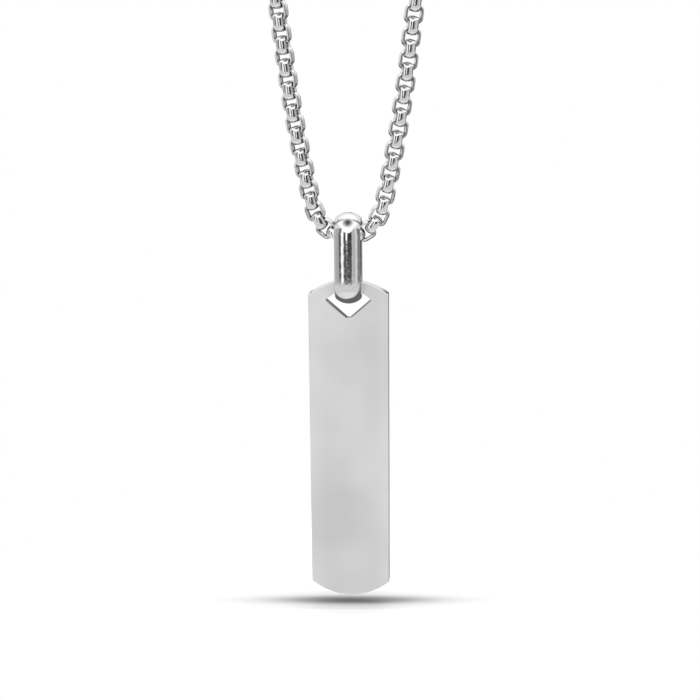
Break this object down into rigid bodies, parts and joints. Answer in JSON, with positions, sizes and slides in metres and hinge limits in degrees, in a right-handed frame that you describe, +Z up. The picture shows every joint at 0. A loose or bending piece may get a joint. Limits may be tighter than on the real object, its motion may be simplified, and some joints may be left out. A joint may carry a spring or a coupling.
{
  "type": "bar pendant necklace",
  "caption": "Flat steel bar with arched ends and a sector cut-out, hung by a wide closed bail on a round box chain.",
  "frame": {"origin": "under the clasp at the top of the loop, where the necklace sits on the nape of the neck", "axes": "+Z up, +X to the right across the bar as seen from the front, -Y towards the viewer, out of the bar's front face"},
  "size_m": [0.0604, 0.0074, 0.2729],
  "materials": {
    "bar": "fine satin",
    "bail": "mirror polished stainless steel",
    "chain": "polished stainless steel"
  },
  "bodies": {
    "chain": {"chain_left": "chain", "chain_right": "chain", "end_ring_left": "chain", "end_ring_right": "chain", "clasp": "chain"},
    "bail": {"bail": "bail"},
    "bar": {"bar_plate": "bar"}
  },
  "joints": [
    {"name": "bail_swing", "type": "hinge", "parent": "chain", "child": "bail", "pos_m": [0, 0, -0.20576], "axis": [1, 0, 0], "range_deg": [-75, 75]},
    {"name": "bar_swing", "type": "hinge", "parent": "bail", "child": "bar", "pos_m": [0, 0, -0.21376], "axis": [1, 0, 0], "range_deg": [-60, 60]}
  ]
}
